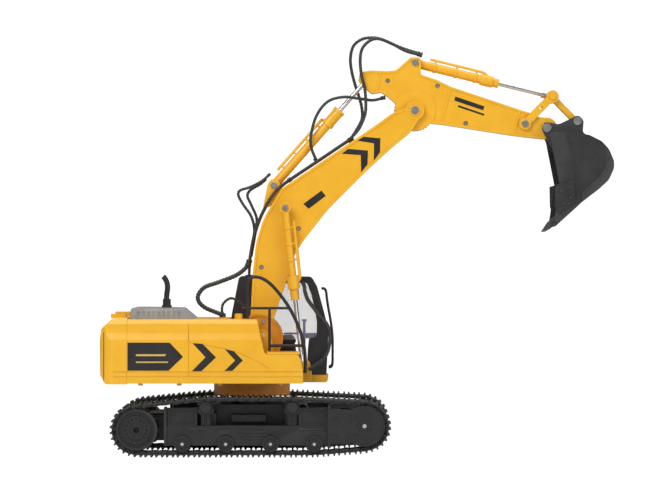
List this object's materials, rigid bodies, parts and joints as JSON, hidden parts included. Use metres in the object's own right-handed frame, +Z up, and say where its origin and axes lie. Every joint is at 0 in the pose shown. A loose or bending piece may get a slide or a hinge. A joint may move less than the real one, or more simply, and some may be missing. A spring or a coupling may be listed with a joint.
{
  "type": "rc excavator",
  "caption": "Radio-controlled tracked excavator model with slewing house, open cab, lifting boom, stick, bucket linkage, cylinders and hoses.",
  "frame": {"origin": "on the ground, under the slew axis", "axes": "+X forward, towards the bucket; +Y left; +Z up; units metres"},
  "size_m": [0.507, 0.172, 0.4172],
  "materials": {
    "yellow_plastic": "satin",
    "black_plastic": "satin",
    "track_plastic": "matt",
    "vent_grey": "satin",
    "clear_plastic": "gloss",
    "violet_plastic": "gloss",
    "hose_rubber": "ribbed matt",
    "steel": "polished",
    "gear_nylon": "satin",
    "motor_case": "plain",
    "battery_wrap": "gloss",
    "board_green": "satin"
  },
  "bodies": {
    "undercarriage": {"chassis": "black_plastic", "side_frame_right": "black_plastic", "side_frame_left": "black_plastic", "track_links_right": "track_plastic", "track_links_left": "track_plastic", "slew_ring_gear": "gear_nylon", "wheel_axles": "steel", "travel_gearmotors": "motor_case"},
    "turret": {"turret_base": "yellow_plastic", "house_shell": "yellow_plastic", "step_plate": "yellow_plastic", "counterweight": "yellow_plastic", "engine_vent_cover": "vent_grey", "exhaust_stack": "black_plastic", "cab_shell": "black_plastic", "cab_windows": "clear_plastic", "cab_seat": "black_plastic", "cab_console": "violet_plastic", "side_guard_rail": "black_plastic", "cab_guard_rail": "black_plastic", "battery_pack": "battery_wrap", "circuit_board": "board_green", "turret_gearmotors": "motor_case"},
    "slew_pinion_body": {"slew_pinion": "gear_nylon"},
    "switch_slider": {"power_switch": "black_plastic"},
    "boom": {"boom_shell_right": "yellow_plastic", "boom_shell_left": "yellow_plastic", "boom_hardware": "steel", "stick_gearmotor": "motor_case", "boom_hoses": "hose_rubber"},
    "stick_pinion_body": {"stick_pinion": "gear_nylon"},
    "stick": {"stick_shell_right": "yellow_plastic", "stick_shell_left": "yellow_plastic", "stick_gear": "gear_nylon", "stick_hardware": "steel", "stick_hoses": "hose_rubber"},
    "boom_cyl_rods": {"boom_cylinder_rods": "steel"},
    "boom_cyl_barrels": {"boom_cylinder_barrels": "yellow_plastic", "boom_cylinder_hoses": "hose_rubber"},
    "stick_cyl_barrel": {"stick_cylinder_barrel": "yellow_plastic", "stick_cylinder_hoses": "hose_rubber"},
    "stick_cyl_rod": {"stick_cylinder_rod": "steel"},
    "bucket_cyl_barrel": {"bucket_cylinder_barrel": "yellow_plastic"},
    "bucket_cyl_rod": {"bucket_cylinder_rod": "steel"},
    "rocker": {"rocker_links": "yellow_plastic"},
    "coupler": {"coupler_link": "yellow_plastic"},
    "bucket": {"bucket": "black_plastic", "bucket_hardware": "black_plastic"},
    "sprocket_right": {"drive_sprocket_right": "black_plastic"},
    "idler_right": {"idler_wheel_right": "black_plastic"},
    "roller_right_1": {"track_roller_right_1": "black_plastic"},
    "roller_right_2": {"track_roller_right_2": "black_plastic"},
    "roller_right_3": {"track_roller_right_3": "black_plastic"},
    "roller_right_4": {"track_roller_right_4": "black_plastic"},
    "sprocket_left": {"drive_sprocket_left": "black_plastic"},
    "idler_left": {"idler_wheel_left": "black_plastic"},
    "roller_left_1": {"track_roller_left_1": "black_plastic"},
    "roller_left_2": {"track_roller_left_2": "black_plastic"},
    "roller_left_3": {"track_roller_left_3": "black_plastic"},
    "roller_left_4": {"track_roller_left_4": "black_plastic"}
  },
  "joints": [
    {"name": "slew", "type": "hinge", "parent": "undercarriage", "child": "turret", "pos_m": [0, 0, 0.07], "axis": [0, 0, 1], "range_deg": [-340, 340]},
    {"name": "slew_pinion_spin", "type": "hinge", "parent": "turret", "child": "slew_pinion_body", "pos_m": [-0.0252, 0, 0.059], "axis": [0, 0, 1], "continuous": true},
    {"name": "power_switch_slide", "type": "slide", "parent": "turret", "child": "switch_slider", "axis": [1, 0, 0], "range_m": [0, 0.003]},
    {"name": "boom_lift", "type": "hinge", "parent": "turret", "child": "boom", "pos_m": [0.007, 0, 0.1146], "axis": [0, -1, 0], "range_deg": [-40, 8], "deforming": ["boom_hoses"]},
    {"name": "boom_cylinder_swing", "type": "hinge", "parent": "turret", "child": "boom_cyl_rods", "pos_m": [0.0502, 0, 0.0874], "axis": [0, -1, 0], "range_deg": [-36, 8]},
    {"name": "boom_cylinder_stroke", "type": "slide", "parent": "boom_cyl_rods", "child": "boom_cyl_barrels", "axis": [-0.1051, 0, 0.9945], "range_m": [-0.033, 0.0075], "deforming": ["boom_cylinder_hoses"]},
    {"name": "stick_swing", "type": "hinge", "parent": "boom", "child": "stick", "pos_m": [0.1625, 0, 0.3416], "axis": [0, -1, 0], "range_deg": [-60, 10], "deforming": ["stick_hoses"]},
    {"name": "stick_pinion_spin", "type": "hinge", "parent": "boom", "child": "stick_pinion_body", "pos_m": [0.14308, 0, 0.32554], "axis": [0, -1, 0], "continuous": true},
    {"name": "stick_cylinder_swing", "type": "hinge", "parent": "boom", "child": "stick_cyl_barrel", "pos_m": [0.0219, 0, 0.2671], "axis": [0, -1, 0], "range_deg": [-6, 1.2], "deforming": ["stick_cylinder_hoses"]},
    {"name": "stick_cylinder_stroke", "type": "slide", "parent": "stick_cyl_barrel", "child": "stick_cyl_rod", "axis": [0.6604, 0, 0.7509], "range_m": [-0.0095, 0.0545]},
    {"name": "bucket_curl", "type": "hinge", "parent": "stick", "child": "bucket", "pos_m": [0.2939, 0, 0.3241], "axis": [0, -1, 0], "range_deg": [-60, 40]},
    {"name": "rocker_swing", "type": "hinge", "parent": "stick", "child": "rocker", "pos_m": [0.2724, 0, 0.3284], "axis": [0, -1, 0], "range_deg": [-39, 26]},
    {"name": "coupler_swing", "type": "hinge", "parent": "rocker", "child": "coupler", "pos_m": [0.2998, 0, 0.3556], "axis": [0, -1, 0], "range_deg": [-5.2, 7.6]},
    {"name": "bucket_cylinder_swing", "type": "hinge", "parent": "rocker", "child": "bucket_cyl_rod", "pos_m": [0.2998, 0, 0.3556], "axis": [0, -1, 0], "range_deg": [-22, 33]},
    {"name": "bucket_cylinder_stroke", "type": "slide", "parent": "bucket_cyl_rod", "child": "bucket_cyl_barrel", "axis": [-0.9708, 0, 0.2399], "range_m": [-0.014, 0.0208]},
    {"name": "sprocket_spin_right", "type": "hinge", "parent": "undercarriage", "child": "sprocket_right", "pos_m": [-0.1112, -0.066, 0.0266], "axis": [0, 1, 0], "continuous": true},
    {"name": "idler_spin_right", "type": "hinge", "parent": "undercarriage", "child": "idler_right", "pos_m": [0.1118, -0.066, 0.0304], "axis": [0, 1, 0], "continuous": true},
    {"name": "roller_spin_right_1", "type": "hinge", "parent": "undercarriage", "child": "roller_right_1", "pos_m": [-0.0665, -0.066, 0.0126], "axis": [0, 1, 0], "continuous": true},
    {"name": "roller_spin_right_2", "type": "hinge", "parent": "undercarriage", "child": "roller_right_2", "pos_m": [-0.024, -0.066, 0.0126], "axis": [0, 1, 0], "continuous": true},
    {"name": "roller_spin_right_3", "type": "hinge", "parent": "undercarriage", "child": "roller_right_3", "pos_m": [0.0198, -0.066, 0.0126], "axis": [0, 1, 0], "continuous": true},
    {"name": "roller_spin_right_4", "type": "hinge", "parent": "undercarriage", "child": "roller_right_4", "pos_m": [0.0627, -0.066, 0.0126], "axis": [0, 1, 0], "continuous": true},
    {"name": "sprocket_spin_left", "type": "hinge", "parent": "undercarriage", "child": "sprocket_left", "pos_m": [-0.1112, 0.066, 0.0266], "axis": [0, 1, 0], "continuous": true},
    {"name": "idler_spin_left", "type": "hinge", "parent": "undercarriage", "child": "idler_left", "pos_m": [0.1118, 0.066, 0.0304], "axis": [0, 1, 0], "continuous": true},
    {"name": "roller_spin_left_1", "type": "hinge", "parent": "undercarriage", "child": "roller_left_1", "pos_m": [-0.0665, 0.066, 0.0126], "axis": [0, 1, 0], "continuous": true},
    {"name": "roller_spin_left_2", "type": "hinge", "parent": "undercarriage", "child": "roller_left_2", "pos_m": [-0.024, 0.066, 0.0126], "axis": [0, 1, 0], "continuous": true},
    {"name": "roller_spin_left_3", "type": "hinge", "parent": "undercarriage", "child": "roller_left_3", "pos_m": [0.0198, 0.066, 0.0126], "axis": [0, 1, 0], "continuous": true},
    {"name": "roller_spin_left_4", "type": "hinge", "parent": "undercarriage", "child": "roller_left_4", "pos_m": [0.0627, 0.066, 0.0126], "axis": [0, 1, 0], "continuous": true}
  ],
  "couplings": [
    {"joint": "slew_pinion_spin", "follows": "slew", "ratio": 4},
    {"joint": "boom_cylinder_swing", "follows": "boom_lift", "ratio": 0.86},
    {"joint": "boom_cylinder_stroke", "follows": "boom_lift", "m_per_rad": 0.04526},
    {"joint": "stick_pinion_spin", "follows": "stick_swing", "ratio": -4},
    {"joint": "stick_cylinder_swing", "follows": "stick_swing", "ratio": 0.09},
    {"joint": "stick_cylinder_stroke", "follows": "stick_swing", "m_per_rad": -0.05157},
    {"joint": "rocker_swing", "follows": "bucket_curl", "ratio": 0.64},
    {"joint": "coupler_swing", "follows": "bucket_curl", "ratio": -0.12},
    {"joint": "bucket_cylinder_swing", "follows": "bucket_curl", "ratio": -0.54},
    {"joint": "bucket_cylinder_stroke", "follows": "bucket_curl", "m_per_rad": -0.01948},
    {"joint": "idler_spin_right", "follows": "sprocket_spin_right", "ratio": 1},
    {"joint": "roller_spin_right_1", "follows": "sprocket_spin_right", "ratio": 3.1212},
    {"joint": "roller_spin_right_2", "follows": "sprocket_spin_right", "ratio": 3.1212},
    {"joint": "roller_spin_right_3", "follows": "sprocket_spin_right", "ratio": 3.1212},
    {"joint": "roller_spin_right_4", "follows": "sprocket_spin_right", "ratio": 3.1212},
    {"joint": "idler_spin_left", "follows": "sprocket_spin_left", "ratio": 1},
    {"joint": "roller_spin_left_1", "follows": "sprocket_spin_left", "ratio": 3.1212},
    {"joint": "roller_spin_left_2", "follows": "sprocket_spin_left", "ratio": 3.1212},
    {"joint": "roller_spin_left_3", "follows": "sprocket_spin_left", "ratio": 3.1212},
    {"joint": "roller_spin_left_4", "follows": "sprocket_spin_left", "ratio": 3.1212}
  ]
}
